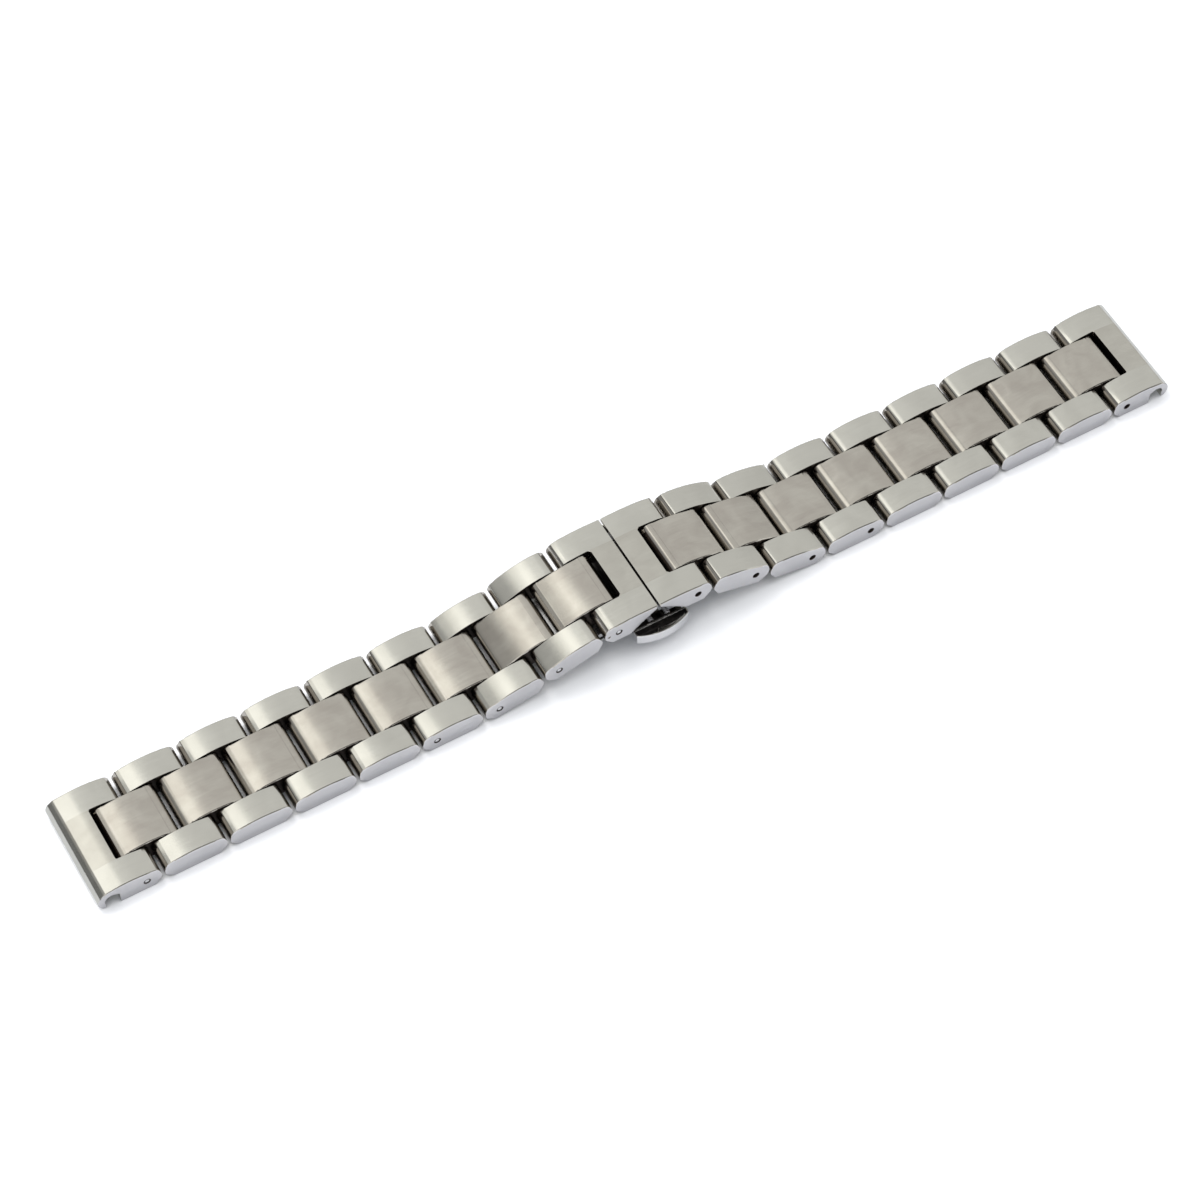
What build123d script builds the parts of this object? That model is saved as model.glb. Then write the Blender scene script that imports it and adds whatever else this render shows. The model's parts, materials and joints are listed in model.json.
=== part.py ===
from build123d import *
import math
import os

# A solid link bracelet for a wristwatch: two bands of links, each with one row of wide
# links between two rows of narrow ones, joined in the middle by a folding clasp with a
# push button on each side. It lies along X on the plane z = 0, outer face up, and the
# closed clasp lifts the middle. The left band is the right band turned half a turn.
# Lengths are in millimetres and angles in degrees.

os.makedirs("parts", exist_ok=True)

# Band
band_width = 18.0
pin_pitch = 5.25            # from one link pin to the next
end_gap = 0.45              # between the ends of two links of one row
link_height = 4.0
crown_rise = 0.15           # rise of a link's top face in its middle
centre_width = 9.0
side_gap = 0.15             # between the centre row and each outer row
edge_break = 0.16
links_per_band = 15         # centre and outer links in turn
loose_links = 3             # outer links next to the clasp whose lug side pin comes out
sag_slopes = (11.0, 17.0, 18.0, 12.0, 3.4, 0.7, 0.15)  # of the first links, in turn

# Ends of a link, measured back from its tip and up from its pin
nose_back = 0.45
nose_rise = 1.05
bevel_top_back = 1.75
bevel_top_drop = 0.16       # below the top face, at the bevel's upper edge
bevel_low_back = 1.35

# Pins
pin_radius = 0.5
running_gap = 0.03
seat_gap = 0.005
pin_sink = 0.05             # below the side face where a loose pin is pushed in
pin_recess = 1.0            # below the other side face
pin_break = 0.15            # chamfer round a loose pin's ends

# Lug end
lug_reach = 7.8             # from the end pin to the outer face
lug_face_top = 1.2          # from the end pin up to the outer face's upper edge
lug_face_back = 0.65        # bulge of the outer face
lug_bevel_back = 1.9        # from the outer face in to the bevel's upper edge
lug_lip = 1.1
lug_lip_short = 0.25        # how far the lip ends above the underside
bar_radius = 1.1            # of the round seat for the spring bar
bar_drop = 0.35             # from the end pin's level down to the bar
bar_mouth = 2.35            # width of the channel
bar_shoulder = 0.25         # fall of the channel's roof beside the seat
bar_wrap = (-20.0, 130.0)   # the seat's arc round the bar
slot_clearance = 0.25
lug_slot_corner = 0.15

# Clasp
clasp_pin_reach = 6.8       # from the seam to the clasp's link pins
seam_gap = 0.3
seam_edge = 0.55            # height of the clasp end's edge at the seam
arch_reach = 4.8            # from the seam to the foot of the arch over the buttons
arch_bulge = 0.15
clasp_slot_end = 4.0        # from the seam
slot_corner = 0.35
dimple_reach = 1.65         # from the clasp's link pin out to the dimple
dimple_drop = 0.25
dimple_radius = 0.22
dimple_depth = 0.4

# Folding plates
hinge_back = 1.47           # from the third link pin in to each wing hinge
knuckle_radius = 1.5
plate_thickness = 0.9
plate_width = 12.6
barrel_width = 7.8
knuckle_gap = 0.2
hinge_pin_radius = 0.6
base_rise = 3.6             # top of the base plate at the seam
wing_bulge = 0.35
wing_seat = 5.1             # from the seam to the wing's free end
pad_height = 0.6
pad_length = 2.9

# Lock
housing_length = 6.0
housing_sink = 0.2          # let into the base plate
housing_height = 2.7        # above the base plate
button_length = 9.0
button_offset = 0.43        # from the seam to the button's middle
button_height = 1.95
button_top = 5.1            # from the ground
button_edge = 0.6           # from the band's side face out to the button's corners
button_bulge = 1.1
button_corner = 0.5
button_floor = 0.4
button_wall = 0.3
rim_width = 0.25            # of the button's front wall, as far as its step
rim_step = (-1.4, -0.9)     # from the button's middle to the step's two ends
step_rim_width = 0.9        # beside the step
broad_rim_width = 0.5
broad_rim_reach = 0.9       # from the button's middle to where the broad rim begins
button_back = 0.6           # from the band's side face in to the button's back
button_travel = 0.7
spring_squeezed = 1.2       # half the spring's length with both buttons pressed
stem_width = 2.4
stem_height = 0.8
stem_gap = 0.1
hook_reach = 1.35           # from the seam to the hook's inner face
hook_thickness = 0.75
hook_width = 5.2
hook_low = 5.15             # from the ground to the hook's tip
hook_room = 0.5
spring_thickness = 0.2
spring_width = 0.7
spring_folds = 5
overrun = 1.0               # how far a cut runs past what it cuts

# Sizes that follow
half_height = link_height / 2
half_pitch = pin_pitch / 2
half_band = band_width / 2
half_centre = centre_width / 2
half_slot = half_centre + side_gap
tip_reach = half_pitch - end_gap / 2
stem_end = spring_squeezed + button_travel      # from the middle to a stem's inner end
half_plate = plate_width / 2
half_barrel = barrel_width / 2


def slope_of(number):
    return sag_slopes[number] if number < len(sag_slopes) else 0.0


clasp_pin_rise = half_height + sum(pin_pitch * math.sin(math.radians(s)) for s in sag_slopes)
clasp_low = clasp_pin_rise - half_height
pin_places = [(clasp_pin_reach, clasp_pin_rise)]
for number in range(links_per_band):
    turn = math.radians(slope_of(number))
    reach, rise = pin_places[-1]
    pin_places.append((reach + pin_pitch * math.cos(turn), rise - pin_pitch * math.sin(turn)))
hinge_reach = pin_places[2][0] - hinge_back


# A plane across the band. Its x runs outwards from the seam and its y runs up, so its
# normal points to the near side on the right band and to the far side on the left one.
def station(side, reach, rise, slope=0.0):
    turn = math.radians(slope)
    outwards = (side * math.cos(turn), 0, -math.sin(turn))
    return Plane(origin=(side * reach, 0, rise), x_dir=outwards, z_dir=(0, -side, 0))


def link_plane(side, number):
    reach, rise = pin_places[number]
    next_reach, next_rise = pin_places[number + 1]
    return station(side, (reach + next_reach) / 2, (rise + next_rise) / 2, slope_of(number))


def level(side, rise):
    return Plane(origin=(0, 0, rise), x_dir=(side, 0, 0), z_dir=(0, 0, 1))


def write(shape, label):
    shape.label = label
    export_step(shape, f"parts/{label}.step")


# Draws the outline of a tip round its pin, and gives its ends on the top and the
# underside. Facing is 1 for a tip that points outwards and -1 for one to the seam.
def tip_lines(pin_at, facing):
    tip = pin_at + facing * tip_reach
    upper = (tip - facing * bevel_top_back, half_height - bevel_top_drop)
    nose_top = (tip - facing * nose_back, nose_rise)
    nose_low = (tip - facing * nose_back, -nose_rise)
    lower = (tip - facing * bevel_low_back, -half_height)
    Line(upper, nose_top)
    ThreePointArc(nose_top, (tip, 0), nose_low)
    Line(nose_low, lower)
    return upper, lower


# One link's side outline, with its pins at plus and minus half a pitch.
def link_outline():
    with BuildSketch() as outline:
        with BuildLine():
            upper, lower = tip_lines(half_pitch, 1)
            inner_upper, inner_lower = tip_lines(-half_pitch, -1)
            ThreePointArc(inner_upper, (0, half_height + crown_rise), upper)
            Line(inner_lower, lower)
        make_face()
    return outline.sketch


def discs(plane, places, radius):
    with BuildSketch(plane) as sketch:
        with Locations(*places):
            Circle(radius)
    return sketch.sketch


# Adds a round rod to the part being built, from one distance along the plane's normal
# to another.
def rod(plane, place, radius, low, high):
    extrude(discs(plane.offset(low), [place], radius), amount=high - low)


# Cuts round holes in it in the same way.
def bore(plane, places, radius, low, high):
    extrude(discs(plane.offset(low), places, radius), amount=high - low, mode=Mode.SUBTRACT)


def centre_link(side, number):
    plane = link_plane(side, number)
    with BuildPart() as link:
        with BuildSketch(plane.offset(-half_centre)):
            add(link_outline())
        extrude(amount=centre_width)
        crown = link.faces().filter_by(GeomType.CYLINDER).sort_by(SortBy.AREA)[-1]
        chamfer(crown.edges().filter_by(GeomType.CIRCLE), edge_break)
        bore(plane, [(-half_pitch, 0), (half_pitch, 0)], pin_radius + running_gap,
             -half_centre, half_centre)
    return link.part


# The edges of the top face and its bevels along the two sides of the band.
def rim_edges(piece, plane):
    sides = piece.faces().filter_by(Axis.Y).filter_by(
        lambda face: abs(face.center().Y) > half_band - edge_break)
    return sides.edges().filter_by(
        lambda edge: plane.to_local_coords(edge.center()).Y > nose_rise)


# Two outer links, joined for good by the pins pressed into them. On a link that can be
# taken out, the pin on the lug side is a loose one.
def outer_links(side, number):
    plane = link_plane(side, number)
    loose = number < 2 * loose_links
    with BuildPart() as pair:
        for low in (half_slot, -half_band):
            with BuildSketch(plane.offset(low)):
                add(link_outline())
            extrude(amount=half_band - half_slot)
        chamfer(rim_edges(pair, plane), edge_break)
        rod(plane, (-half_pitch, 0), pin_radius, -half_slot, half_slot)
        if loose:
            bore(plane, [(half_pitch, 0)], pin_radius + seat_gap, -half_band, half_band)
        else:
            rod(plane, (half_pitch, 0), pin_radius, -half_slot, half_slot)
    return pair.part


# A pin that can be pushed out. It stands near one side face and deep below the other.
def loose_pin(side, number):
    plane = station(side, *pin_places[number])
    with BuildPart() as pin:
        rod(plane, (0, 0), pin_radius, pin_sink - half_band, half_band - pin_recess)
        chamfer(pin.edges().filter_by(GeomType.CIRCLE), pin_break)
    return pin.part


# The slot that a centre link stands in. The two corners at its closed end are cut.
def slot_sketch(side, rise, near, far, closed, corner):
    with BuildSketch(level(side, rise - link_height)) as slot:
        with Locations(((near + far) / 2, 0)):
            Rectangle(far - near, 2 * half_slot)
        chamfer(slot.vertices().group_by(Axis.X)[closed], corner)
    return slot.sketch


# The U shaped piece at the seam. Its underside rises in an arch over the lock.
def clasp_end(side):
    plane = station(side, *pin_places[0])
    seam = seam_gap / 2 - clasp_pin_reach
    foot = arch_reach - clasp_pin_reach
    edge_top = half_height + crown_rise / 2
    edge_low = edge_top - seam_edge
    arch_middle = ((seam + foot) / 2, (edge_low - half_height) / 2 + arch_bulge)
    with BuildPart() as piece:
        with BuildSketch(plane.offset(-half_band)):
            with BuildLine():
                upper, lower = tip_lines(0, 1)
                Line(lower, (foot, -half_height))
                ThreePointArc((foot, -half_height), arch_middle, (seam, edge_low))
                Line((seam, edge_low), (seam, edge_top))
                crown = ((seam + upper[0]) / 2, half_height + crown_rise)
                ThreePointArc((seam, edge_top), crown, upper)
            make_face()
        extrude(amount=band_width)
        chamfer(rim_edges(piece, plane), edge_break)
        far = clasp_pin_reach + tip_reach + overrun
        extrude(slot_sketch(side, clasp_pin_rise, clasp_slot_end, far, 0, slot_corner),
                amount=2 * link_height, mode=Mode.SUBTRACT)
        bore(plane, [(0, 0)], pin_radius + seat_gap, -half_band, half_band)
        bore(plane, [(dimple_reach, -dimple_drop)], dimple_radius, -half_band,
             dimple_depth - half_band)
        with BuildSketch(station(side, 0, 0).offset(-hook_width / 2)):
            with Locations((hook_reach + hook_thickness / 2, hook_low)):
                Rectangle(hook_thickness, clasp_pin_rise + edge_low - hook_low,
                          align=(Align.CENTER, Align.MIN))
        extrude(amount=hook_width)
    return piece.part


# The U shaped piece at the watch. Its outer edge hooks over a spring bar.
def lug_end(side):
    reach, rise = pin_places[-1]
    plane = station(side, reach, rise)
    bar = (lug_reach - lug_lip - bar_radius, -bar_drop)
    start, stop = (math.radians(a) for a in bar_wrap)
    hook_at = (bar[0] + bar_radius * math.cos(start), bar[1] + bar_radius * math.sin(start))
    leave = (bar[0] + bar_radius * math.cos(stop), bar[1] + bar_radius * math.sin(stop))
    inner = lug_reach - lug_lip - bar_mouth
    face_top = (lug_reach - lug_face_back, lug_face_top)
    face_low = (lug_reach - lug_face_back, lug_lip_short - half_height)
    with BuildPart() as piece:
        with BuildSketch(plane.offset(-half_band)):
            with BuildLine():
                upper, lower = tip_lines(0, -1)
                top_out = (lug_reach - lug_bevel_back, half_height - bevel_top_drop)
                crown = ((top_out[0] + upper[0]) / 2, half_height + crown_rise)
                ThreePointArc(upper, crown, top_out)
                Line(top_out, face_top)
                ThreePointArc(face_top, (lug_reach, (face_top[1] + face_low[1]) / 2), face_low)
                Polyline(face_low, (bar[0], face_low[1]), (bar[0], -half_height), lower)
            make_face()
        extrude(amount=band_width)
        chamfer(rim_edges(piece, plane), edge_break)
        extrude(slot_sketch(side, rise, reach - tip_reach - overrun,
                            reach + tip_reach + slot_clearance, -1, lug_slot_corner),
                amount=2 * link_height, mode=Mode.SUBTRACT)
        bore(plane, [bar], bar_radius, -half_band, half_band)
        with BuildSketch(plane.offset(-half_band)):
            with BuildLine():
                Polyline(hook_at, bar, leave, (inner, leave[1] - bar_shoulder),
                         (inner, -link_height), (hook_at[0], -link_height), close=True)
            make_face()
        extrude(amount=band_width, mode=Mode.SUBTRACT)
        bore(plane, [(0, 0)], pin_radius + seat_gap, -half_band, half_band)
    return piece.part


# A plate bent to the wrist that folds over the base plate and carries a clasp end.
def wing(side):
    plane = station(side, 0, 0)
    seat_rise = clasp_low - pad_height
    top = 2 * knuckle_radius
    middle = ((wing_seat + hinge_reach) / 2, (seat_rise + top) / 2)
    slant = math.atan2(seat_rise - top, hinge_reach - wing_seat)
    bulge = (middle[0] + wing_bulge * math.sin(slant), middle[1] + wing_bulge * math.cos(slant))
    cut_from = hinge_reach - knuckle_radius - knuckle_gap
    with BuildPart() as plate:
        with BuildSketch(plane.offset(-half_plate)):
            with BuildLine():
                ThreePointArc((wing_seat, seat_rise), bulge, (hinge_reach, top))
                Line((hinge_reach, top), (hinge_reach, top - plate_thickness))
                ThreePointArc((hinge_reach, top - plate_thickness),
                              (bulge[0], bulge[1] - plate_thickness),
                              (wing_seat, seat_rise - plate_thickness))
                Line((wing_seat, seat_rise - plate_thickness), (wing_seat, seat_rise))
            make_face()
        extrude(amount=plate_width)
        for low in (half_barrel, -half_plate):
            with BuildSketch(plane.offset(low)):
                with Locations((cut_from, 0)):
                    Rectangle(2 * knuckle_radius, link_height * 2, align=(Align.MIN, Align.MIN))
            extrude(amount=half_plate - half_barrel, mode=Mode.SUBTRACT)
        with BuildSketch(plane.offset(-half_barrel)):
            with Locations((hinge_reach, knuckle_radius)):
                Circle(knuckle_radius)
        extrude(amount=barrel_width)
        pad_low = seat_rise - plate_thickness / 2
        pad_inner = half_slot + side_gap
        for low in (pad_inner, -half_plate):
            with BuildSketch(plane.offset(low)):
                with Locations((wing_seat, pad_low)):
                    Rectangle(pad_length, clasp_low - pad_low, align=(Align.MIN, Align.MIN))
            extrude(amount=half_plate - pad_inner)
        bore(plane, [(hinge_reach, knuckle_radius)], hinge_pin_radius + running_gap,
             -half_barrel, half_barrel)
    return plate.part


def base_plate():
    plane = station(1, 0, 0)
    end_top = knuckle_radius + plate_thickness / 3
    cut_from = hinge_reach - knuckle_radius - knuckle_gap
    low = plate_thickness
    lug_width = half_plate - half_barrel - knuckle_gap
    with BuildPart() as base:
        with BuildSketch(plane.offset(-half_plate)):
            with BuildLine():
                ThreePointArc((-hinge_reach, end_top), (0, base_rise), (hinge_reach, end_top))
                Line((hinge_reach, end_top), (hinge_reach, end_top - low))
                ThreePointArc((hinge_reach, end_top - low), (0, base_rise - low),
                              (-hinge_reach, end_top - low))
                Line((-hinge_reach, end_top - low), (-hinge_reach, end_top))
            make_face()
        extrude(amount=plate_width)
        for side in (1, -1):
            with BuildSketch(plane.offset(-half_barrel - knuckle_gap)):
                with Locations((side * (cut_from + knuckle_radius), 0)):
                    Rectangle(2 * knuckle_radius, link_height * 2, align=(Align.CENTER, Align.MIN))
            extrude(amount=barrel_width + 2 * knuckle_gap, mode=Mode.SUBTRACT)
        for start in (half_barrel + knuckle_gap, -half_plate):
            with BuildSketch(plane.offset(start)):
                with Locations((hinge_reach, knuckle_radius), (-hinge_reach, knuckle_radius)):
                    Circle(knuckle_radius)
            extrude(amount=lug_width)
        for side in (1, -1):
            bore(plane, [(side * hinge_reach, knuckle_radius)], hinge_pin_radius + seat_gap,
                 -half_plate, half_plate)
        with BuildSketch(level(1, base_rise - housing_sink)):
            Rectangle(housing_length, plate_width)
        extrude(amount=housing_sink + overrun, mode=Mode.SUBTRACT)
    return base.part


def hinge_pin(side):
    with BuildPart() as pin:
        rod(station(side, hinge_reach, knuckle_radius), (0, 0), hinge_pin_radius,
            -half_plate, half_plate)
    return pin.part


stem_low = button_top - stem_height - stem_gap


# The block on the base plate in which the button stems slide and the hooks drop.
def lock_housing():
    low = base_rise - housing_sink
    hook_clear = hook_reach + hook_thickness + hook_room
    with BuildPart() as housing:
        with BuildSketch(level(1, low)):
            Rectangle(housing_length, plate_width)
        extrude(amount=housing_height + housing_sink)
        with BuildSketch(level(1, stem_low - stem_gap)):
            Rectangle(stem_width + 2 * stem_gap, plate_width)
        extrude(amount=stem_height + 2 * stem_gap, mode=Mode.SUBTRACT)
        stem_clear = stem_width / 2 + stem_gap
        middle = (stem_clear + hook_clear) / 2
        with BuildSketch(level(1, hook_low - hook_room)):
            with Locations((middle, 0), (-middle, 0)):
                Rectangle(hook_clear - stem_clear, hook_width + 2 * hook_room)
        extrude(amount=housing_height + overrun, mode=Mode.SUBTRACT)
    return housing.part


# How far out a button's curved face stands, at a distance from the button's middle.
def face_at(reach):
    share = reach / (button_length / 2)
    return -half_band - button_edge - button_bulge * (1 - share ** 2)


# A level plane with its origin at a button's middle.
def button_plane(side, rise):
    return Plane(origin=(side * button_offset, 0, rise), x_dir=(side, 0, 0), z_dir=(0, 0, 1))


# The hollow in a button's top, behind a rim that steps from narrow to broad.
def button_pocket(side):
    end = button_length / 2 - rim_width
    back = button_back - button_wall - half_band
    low, high = rim_step
    left = (-end, face_at(end) + rim_width)
    right = (end, face_at(end) + rim_width)
    narrow_middle = (low - end) / 2
    broad_middle = (broad_rim_reach + end) / 2
    step_low = (low, face_at(low) + rim_width)
    step_high = (high, face_at(high) + step_rim_width)
    broad = (broad_rim_reach, face_at(broad_rim_reach) + broad_rim_width)
    half_taper = (broad_rim_width + rim_width) / 2
    with BuildSketch(button_plane(side, button_top - button_height + button_floor)) as pocket:
        with BuildLine():
            ThreePointArc(left, (narrow_middle, face_at(narrow_middle) + rim_width), step_low)
            Polyline(step_low, step_high, broad)
            ThreePointArc(broad, (broad_middle, face_at(broad_middle) + half_taper), right)
            Polyline(right, (end, back), (-end, back), left)
        make_face()
    return pocket.sketch


# A hollow button with a curved face and a flat stem. The side is 1 for the near button.
def push_button(side):
    back = button_back - half_band
    half_length = button_length / 2
    corner = face_at(half_length)
    with BuildPart() as button:
        with BuildSketch(button_plane(side, button_top - button_height)) as outline:
            with BuildLine():
                Line((-half_length, back), (-half_length, corner))
                ThreePointArc((-half_length, corner), (0, face_at(0)), (half_length, corner))
                Line((half_length, corner), (half_length, back))
                Line((half_length, back), (-half_length, back))
            make_face()
            fillet(outline.vertices().group_by(Axis.Y)[0].sort_by(Axis.X)[-1], button_corner)
        extrude(amount=button_height)
        extrude(button_pocket(side), amount=button_height, mode=Mode.SUBTRACT)
        with BuildSketch(level(side, stem_low)):
            with Locations((0, back)):
                Rectangle(stem_width, -back - stem_end, align=(Align.CENTER, Align.MIN))
        extrude(amount=stem_height)
    return button.part


# A flat strip folded to and fro between the two stems.
def button_spring():
    step = 2 * stem_end / spring_folds
    swing = stem_width / 2 - spring_thickness
    rows = [-stem_end + step * n for n in range(spring_folds + 1)]
    half = spring_thickness / 2
    ends = [(swing if n % 2 else -swing, y) for n, y in enumerate(rows)]
    ends[0] = (ends[0][0], ends[0][1] + half)
    ends[-1] = (ends[-1][0], ends[-1][1] - half)
    with BuildPart() as spring:
        with BuildSketch(level(1, stem_low)):
            with BuildLine() as path:
                Polyline(*ends)
            trace(path.line, line_width=spring_thickness)
        extrude(amount=spring_width)
    return spring.part


for side, hand in ((1, "right"), (-1, "left")):
    for number in range(links_per_band):
        place = number // 2 + 1
        if number % 2:
            write(outer_links(side, number), f"outer_links_{hand}_{place}")
        else:
            write(centre_link(side, number), f"centre_link_{hand}_{place}")
    for place in range(1, loose_links + 1):
        write(loose_pin(side, 2 * place), f"link_pin_{hand}_{place}")
    write(clasp_end(side), f"clasp_end_{hand}")
    write(loose_pin(side, 0), f"clasp_end_pin_{hand}")
    write(lug_end(side), f"lug_end_{hand}")
    write(loose_pin(side, links_per_band), f"lug_end_pin_{hand}")
    write(wing(side), f"wing_{hand}")
    write(hinge_pin(side), f"wing_hinge_pin_{hand}")

write(base_plate(), "base_plate")
write(lock_housing(), "lock_housing")
write(push_button(1), "button_near")
write(push_button(-1), "button_far")
write(button_spring(), "button_spring")
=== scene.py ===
import json
import math

import bmesh
import bpy
from mathutils import Matrix, Vector


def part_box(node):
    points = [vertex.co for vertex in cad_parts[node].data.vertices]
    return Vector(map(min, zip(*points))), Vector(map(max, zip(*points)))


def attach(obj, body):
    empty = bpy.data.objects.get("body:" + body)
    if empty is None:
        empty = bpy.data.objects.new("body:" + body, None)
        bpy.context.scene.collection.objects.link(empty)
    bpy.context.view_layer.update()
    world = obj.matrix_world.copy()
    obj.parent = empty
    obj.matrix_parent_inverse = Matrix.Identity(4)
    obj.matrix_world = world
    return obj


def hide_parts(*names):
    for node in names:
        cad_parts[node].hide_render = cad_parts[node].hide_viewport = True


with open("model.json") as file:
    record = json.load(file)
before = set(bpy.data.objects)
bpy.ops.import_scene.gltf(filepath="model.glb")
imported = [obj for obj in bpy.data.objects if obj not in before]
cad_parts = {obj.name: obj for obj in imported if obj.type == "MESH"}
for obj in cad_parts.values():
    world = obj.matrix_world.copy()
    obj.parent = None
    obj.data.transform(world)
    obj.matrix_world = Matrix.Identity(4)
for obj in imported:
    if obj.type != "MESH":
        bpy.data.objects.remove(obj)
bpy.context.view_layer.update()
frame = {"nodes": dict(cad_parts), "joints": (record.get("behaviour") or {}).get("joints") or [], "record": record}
mm = 0.001
bodyOfNode = {node: body for body, nodes in frame["record"]["behaviour"]["bodies"].items() for node in nodes}
hinges = {joint["name"]: Vector(joint["pos_m"]) for joint in frame["joints"] if "hinge" in joint["name"]}
print("frame loaded:", len(frame["nodes"]), "nodes")


# Helpers for nodes and objects

def newGroup(name, inputs, outputs):
    group = bpy.data.node_groups.new(name, "ShaderNodeTree")
    for label, kind, value in inputs:
        socket = group.interface.new_socket(label, in_out="INPUT", socket_type="NodeSocket" + kind)
        if value is not None:
            socket.default_value = value
    for label, kind in outputs:
        group.interface.new_socket(label, in_out="OUTPUT", socket_type="NodeSocket" + kind)
    return group, group.nodes.new("NodeGroupInput").outputs, group.nodes.new("NodeGroupOutput").inputs


def newMaterial(name):
    material = bpy.data.materials.new(name)
    material.use_nodes = True
    return material, material.node_tree


def feed(tree, node, label, value):    # a label such as i0 is the socket's number
    key = int(label[1:]) if label[1:].isdigit() else label
    if isinstance(value, bpy.types.NodeSocket):
        tree.links.new(value, node.inputs[key])
    else:
        node.inputs[key].default_value = value


def addNode(tree, kind, settings=None, **sockets):
    node = tree.nodes.new("ShaderNode" + kind)
    for label, value in (settings or {}).items():
        setattr(node, label, value)
    for label, value in sockets.items():
        feed(tree, node, label, value)
    return node


def useGroup(tree, group, **sockets):
    node = tree.nodes.new("ShaderNodeGroup")
    node.node_tree = group
    for label, value in sockets.items():
        feed(tree, node, label.replace("_", " "), value)
    return node.outputs


def maths(tree, operation, first, second=0.0, clamp=False):
    settings = {"operation": operation, "use_clamp": clamp}
    return addNode(tree, "Math", settings, i0=first, i1=second).outputs[0]


def vectorMaths(tree, operation, first, second, output=0):
    return addNode(tree, "VectorMath", {"operation": operation}, i0=first, i1=second).outputs[output]


def spread(tree, value, low, high):    # 0 to 1 becomes low to high
    return addNode(tree, "MapRange", None, Value=value, **{"To Min": low, "To Max": high}).outputs[0]


def contrast(tree, value, limits, settings=None):    # low to high becomes 0 to 1
    low, high = limits
    return addNode(tree, "MapRange", settings, Value=value, **{"From Min": low, "From Max": high}).outputs[0]


def addObject(name, data):
    made = bpy.data.objects.new(name, data)
    bpy.context.scene.collection.objects.link(made)
    return made


def rectangle(name, halfX, halfY):
    mesh = bpy.data.meshes.new(name)
    corners = [(-halfX, -halfY, 0), (halfX, -halfY, 0), (halfX, halfY, 0), (-halfX, halfY, 0)]
    mesh.from_pydata(corners, [], [(0, 1, 2, 3)])
    return mesh


# Shader groups. Place is in millimetres.

brushingLook = {"seedShift": (97.0, 61.0), "bandStretch": (0.45, 0.16, 0.16), "lineShare": 0.4, "bandShare": 0.6,
                "contrast": (0.32, 0.68)}
cloudLook = {"seedShift": 53.0, "contrast": (0.32, 0.68)}
wearAndSheenLook = {"reach": 0.2, "gain": 7.0, "patchScale": 0.9, "samples": 6}


def makeFineBrushing():    # long thin scratches along x
    group, given, out = newGroup("fineBrushing", [
        ("Place", "Vector", None), ("Seed", "Float", 0.0),
        ("Line Length", "Float", 4.0), ("Line Width", "Float", 0.06)], [("Height", "Float"), ("Streak", "Float")])
    shiftX, shiftY = (maths(group, "MULTIPLY", given["Seed"], far) for far in brushingLook["seedShift"])
    shift = addNode(group, "CombineXYZ", None, X=shiftX, Y=shiftY).outputs[0]
    along = maths(group, "DIVIDE", 1.0, given["Line Length"])
    across = maths(group, "DIVIDE", 1.0, given["Line Width"])
    stretch = addNode(group, "CombineXYZ", None, X=along, Y=across, Z=across).outputs[0]
    fine = vectorMaths(group, "ADD", vectorMaths(group, "MULTIPLY", given["Place"], stretch), shift)
    lines = addNode(group, "TexNoise", None, Vector=fine, Scale=1.0, Detail=3.0, Roughness=0.6)
    coarse = vectorMaths(group, "MULTIPLY", fine, brushingLook["bandStretch"])
    bands = addNode(group, "TexNoise", None, Vector=coarse, Scale=1.0, Detail=4.0, Roughness=0.65)
    group.links.new(lines.outputs["Fac"], out["Height"])
    streak = maths(group, "ADD", maths(group, "MULTIPLY", lines.outputs["Fac"], brushingLook["lineShare"]),
                   maths(group, "MULTIPLY", bands.outputs["Fac"], brushingLook["bandShare"]))
    group.links.new(contrast(group, streak, brushingLook["contrast"]), out["Streak"])
    return group


def makeCloudyTone():    # soft patches, as steel shows where its polish is uneven
    group, given, out = newGroup("cloudyTone", [
        ("Place", "Vector", None), ("Seed", "Float", 0.0), ("Patch Size", "Float", 5.0)], [("Patch", "Float")])
    size = maths(group, "DIVIDE", 1.0, given["Patch Size"])
    shift = maths(group, "MULTIPLY", given["Seed"], cloudLook["seedShift"])
    place = vectorMaths(group, "ADD", given["Place"], addNode(group, "CombineXYZ", None, Z=shift).outputs[0])
    noise = addNode(group, "TexNoise", None, Vector=place, Scale=size, Detail=2.0, Roughness=0.45, Distortion=0.6)
    group.links.new(contrast(group, noise.outputs["Fac"], cloudLook["contrast"]), out["Patch"])
    return group


def makeEdgeWearAndSheen():    # brighter along edges, partly rubbed wear and partly a painted highlight
    group, given, out = newGroup("edgeWearAndSheen", [
        ("Place", "Vector", None), ("Reach", "Float", wearAndSheenLook["reach"] * mm)], [("Mask", "Float")])
    bevel = addNode(group, "Bevel", {"samples": wearAndSheenLook["samples"]}, Radius=given["Reach"]).outputs[0]
    flat = addNode(group, "NewGeometry").outputs["Normal"]
    bend = vectorMaths(group, "DOT_PRODUCT", bevel, flat, "Value")
    turned = maths(group, "MULTIPLY", maths(group, "SUBTRACT", 1.0, bend), wearAndSheenLook["gain"], clamp=True)
    patches = addNode(group, "TexNoise", None, Vector=given["Place"], Scale=wearAndSheenLook["patchScale"], Detail=3.0)
    group.links.new(maths(group, "MULTIPLY", turned, patches.outputs["Fac"], clamp=True), out["Mask"])
    return group


fineBrushing = makeFineBrushing()
cloudyTone = makeCloudyTone()
edgeWearAndSheen = makeEdgeWearAndSheen()


# Steel finishes. Colours are linear, sizes are in millimetres. Some finishes are painted shade, a painted highlight
# or a painted reflection, as noted at each. The edge colour of every finish, which edges are lightened towards, is
# partly rubbed wear and partly a painted highlight.

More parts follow.
